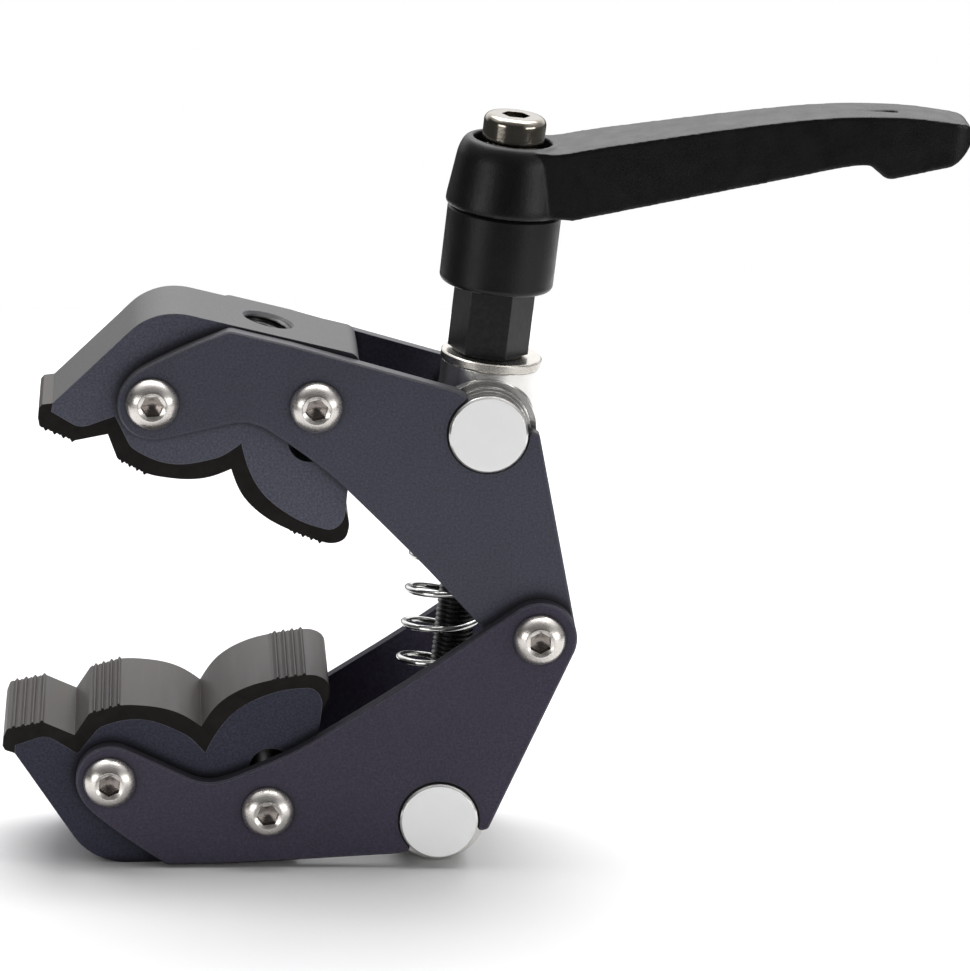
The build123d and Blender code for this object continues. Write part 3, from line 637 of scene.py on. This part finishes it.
def lever():
    """The die-cast lever: the CAD shape with its edges and inner corners softened."""
    src = nodes["lever_handle"]
    me = src.data.copy()
    bm = bmesh.new()
    bm.from_mesh(me)
    bmesh.ops.remove_doubles(bm, verts=bm.verts, dist=2e-6)
    bm.to_mesh(me)
    bm.free()
    ob = bpy.data.objects.new("lever_casting", me)
    scene.collection.objects.link(ob)
    # shallow wedge mark on top, near the tip
    wedge = bpy.data.meshes.new("wedge")
    pts = []
    for s in (69.35, 74.0):
        for r, w in ((63.8, 0.12), (75.1, 1.05)):
            for sgn in (-1, 1):
                pts.append(U + (SX * r + SY * (sgn * w - 0.6) + SD * s) * MM)
    wedge.from_pydata([tuple(p) for p in pts], [],
                      [(0, 1, 3, 2), (4, 6, 7, 5), (0, 2, 6, 4), (1, 5, 7, 3), (0, 4, 5, 1), (2, 3, 7, 6)])
    cutter = bpy.data.objects.new("wedge", wedge)
    scene.collection.objects.link(cutter)
    mod = ob.modifiers.new("cut", "BOOLEAN")
    mod.operation, mod.object, mod.solver = "DIFFERENCE", cutter, "EXACT"
    mod = ob.modifiers.new("skin", "REMESH")
    mod.mode, mod.voxel_size = "VOXEL", 0.00030
    mod = ob.modifiers.new("soften", "SMOOTH")
    mod.factor, mod.iterations = 0.5, 7
    dg = bpy.context.evaluated_depsgraph_get()
    done = bpy.data.meshes.new_from_object(ob.evaluated_get(dg), depsgraph=dg)
    ob.modifiers.clear()
    ob.data = done
    bpy.data.objects.remove(cutter, do_unlink=True)
    done.shade_smooth()
    wear(ob, "lever")
    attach(ob, "handle")
    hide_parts("lever_handle")
    return ob


def return_spring():
    """Small spring under the cap screw: it goes solid when the handle is lifted."""
    wire, R, lo, hi, turns, ring, per = 0.32, 4.85, 52.55, 56.15, 3.0, 10, 36
    steps = int(turns * per)
    verts, faces = [], []
    for k in range(steps + 1):
        a = 2 * pi * turns * k / steps
        s = lo + wire + (hi - lo - 2 * wire) * k / steps
        for i in range(ring):
            b = 2 * pi * i / ring
            verts.append(on_screw(R + wire * cos(b), a, s + wire * sin(b)))
    for k in range(steps):
        for i in range(ring):
            j = (i + 1) % ring
            faces.append((k * ring + i, k * ring + j, (k + 1) * ring + j, (k + 1) * ring + i))
    faces.append(tuple(reversed(range(ring))))
    faces.append(tuple(steps * ring + i for i in range(ring)))
    ob = piece("return_coil", verts, faces, "spring", "screw")
    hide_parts("lever_spring")
    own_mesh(ob)
    return ob


threaded_rod()
coil()
return_spring()
tapped("upper_socket_thread", Vector((-0.0429863, 0, 0.1094127)), Vector((0.229949, 0, 0.973203)), "upper_jaw")
tapped("lower_socket_thread", Vector((-0.0546861, 0, 0.0002954)), Vector((0.018396, 0, -0.999831)), "lower_jaw")
screws("arm_screw_set_upper", "upper_arm_screws", "upper_arm",
       [(-66.0212, 95.9607, 14.30, 4), (-33.7236, 95.4048, 14.30, 14)], 9.4)
screws("arm_screw_set_lower", "lower_arm_screws", "lower_arm",
       [(-74.3455, 18.3251, 18.0, 26), (-42.6642, 12.0211, 18.0, 8)], 11.4)
screws("hinge_screw_pair", "hinge_screws", "lower_arm", [(11.273, 48.409, 18.0, 31)], 11.4)
lever()

# ==============================================================================
# Floor, light and camera
# ==============================================================================
def floor():
    me = bpy.data.meshes.new("floor")
    me.from_pydata([(-0.34, -0.30, 0), (0.34, -0.30, 0), (0.34, 0.42, 0), (-0.34, 0.42, 0)], [], [(0, 1, 2, 3)])
    ob = bpy.data.objects.new("floor", me)
    scene.collection.objects.link(ob)
    ob.location.z = -0.00002
    s = Shader("floor_white")
    n = s.noise(s.coords(scale=(20, 20, 20)), 1.0, 2.0)
    s.base(Base_Color=s.mix(n, (0.71, 0.71, 0.71), (0.73, 0.73, 0.73)), Roughness=0.9)
    me.materials.append(s.mat)


floor()


def area(name, loc, target, size, energy, colour=(1, 1, 1), shape="RECTANGLE"):
    li = bpy.data.lights.new(name, "AREA")
    li.shape = shape
    li.size, li.size_y = size
    li.energy = energy
    li.color = colour
    ob = bpy.data.objects.new(name, li)
    scene.collection.objects.link(ob)
    ob.location = loc
    ob.rotation_mode = "QUATERNION"
    ob.rotation_quaternion = (Vector(target) - Vector(loc)).to_track_quat("-Z", "Y")
    return ob


area("top_box", (0.05, 0.35, 1.00), (0, 0.05, 0.05), (1.2, 0.9), 15.0)
area("key_box", (-0.96, -0.74, 0.19), (0, 0, 0.07), (0.60, 0.36), 2.7)
area("fill_box", (1.0, -0.66, 0.17), (0, 0, 0.08), (0.80, 0.32), 3.2)

world = bpy.data.worlds.new("studio")
scene.world = world
world.use_nodes = True
wn = world.node_tree
wn.nodes.clear()
wout = wn.nodes.new("ShaderNodeOutputWorld")
tc = wn.nodes.new("ShaderNodeTexCoord")
sep = wn.nodes.new("ShaderNodeSeparateXYZ")
wn.links.new(tc.outputs["Generated"], sep.inputs[0])


def wmap(sock, a, b, lo, hi):
    n = wn.nodes.new("ShaderNodeMapRange")
    n.interpolation_type = "SMOOTHSTEP"
    n.inputs["From Min"].default_value = a
    n.inputs["From Max"].default_value = b
    n.inputs["To Min"].default_value = lo
    n.inputs["To Max"].default_value = hi
    wn.links.new(sock, n.inputs["Value"])
    return n.outputs["Result"]


def wmath(op, a, b):
    n = wn.nodes.new("ShaderNodeMath")
    n.operation = op
    for i, v in enumerate((a, b)):
        if isinstance(v, (int, float)):
            n.inputs[i].default_value = v
        else:
            wn.links.new(v, n.inputs[i])
    return n.outputs[0]


# a dim room with a bright sheet behind and above
over = wmath("MULTIPLY", wmap(sep.outputs["Z"], 0.35, 0.90, 0.0, 0.85), wmap(sep.outputs["Y"], -0.55, 0.15, 0.12, 1.0))
behind = wmath("MULTIPLY", wmap(sep.outputs["Y"], 0.42, 0.95, 0.0, 1.0), wmap(sep.outputs["Z"], -0.10, 0.25, 0.0, 0.9))
beside = wmath("MULTIPLY", wmap(sep.outputs["X"], 0.40, 0.72, 0.0, 0.22), wmap(sep.outputs["Z"], -0.15, 0.15, 0.0, 1.0))
glow = wmath("ADD", wmath("ADD", wmath("ADD", over, behind), beside), 0.045)
bg = wn.nodes.new("ShaderNodeBackground")
bg.inputs[0].default_value = (1.0, 1.0, 1.02, 1)
wn.links.new(wmath("MULTIPLY", glow, 1.6), bg.inputs[1])
seen = wn.nodes.new("ShaderNodeBackground")
seen.inputs[0].default_value = (1, 1, 1, 1)
seen.inputs[1].default_value = 1.0
lp = wn.nodes.new("ShaderNodeLightPath")
mx = wn.nodes.new("ShaderNodeMixShader")
wn.links.new(lp.outputs["Is Camera Ray"], mx.inputs[0])
wn.links.new(bg.outputs[0], mx.inputs[1])
wn.links.new(seen.outputs[0], mx.inputs[2])
wn.links.new(mx.outputs[0], wout.inputs[0])

scene.view_settings.view_transform = "Standard"
scene.view_settings.look = "None"
scene.view_settings.exposure = 0.0

# camera: 16.8 degrees above the horizon, turned 3.5 degrees, 1.2 degrees of roll
elev, yaw, roll, dist = radians(16.8), radians(3.4994), radians(1.1964), 1050.0
fw0 = Vector((sin(yaw) * cos(elev), cos(yaw) * cos(elev), -sin(elev)))
right0 = fw0.cross(Vector((0, 0, 1))).normalized()
up0 = right0.cross(fw0)


def turn(v):
    return Vector((v.x * cos(roll) - v.z * sin(roll), v.y, v.x * sin(roll) + v.z * cos(roll)))


at = turn(-dist * fw0 - Vector((9.874, 0, -26.887))) + Vector((11.273, 0, 48.409))
fw, right, up = turn(fw0), turn(right0), turn(up0)
cam_data = bpy.data.cameras.new("camera")
cam = bpy.data.objects.new("camera", cam_data)
scene.collection.objects.link(cam)
cam_data.sensor_width = 36.0
cam_data.lens = 5215.357 * 36.0 / 970.0
cam_data.clip_start, cam_data.clip_end = 0.05, 30.0
cam.matrix_world = Matrix((
    (right.x, up.x, -fw.x, at.x * MM),
    (right.y, up.y, -fw.y, at.y * MM),
    (right.z, up.z, -fw.z, at.z * MM),
    (0, 0, 0, 1)))
scene.camera = cam

# ==============================================================================
bpy.context.view_layer.update()
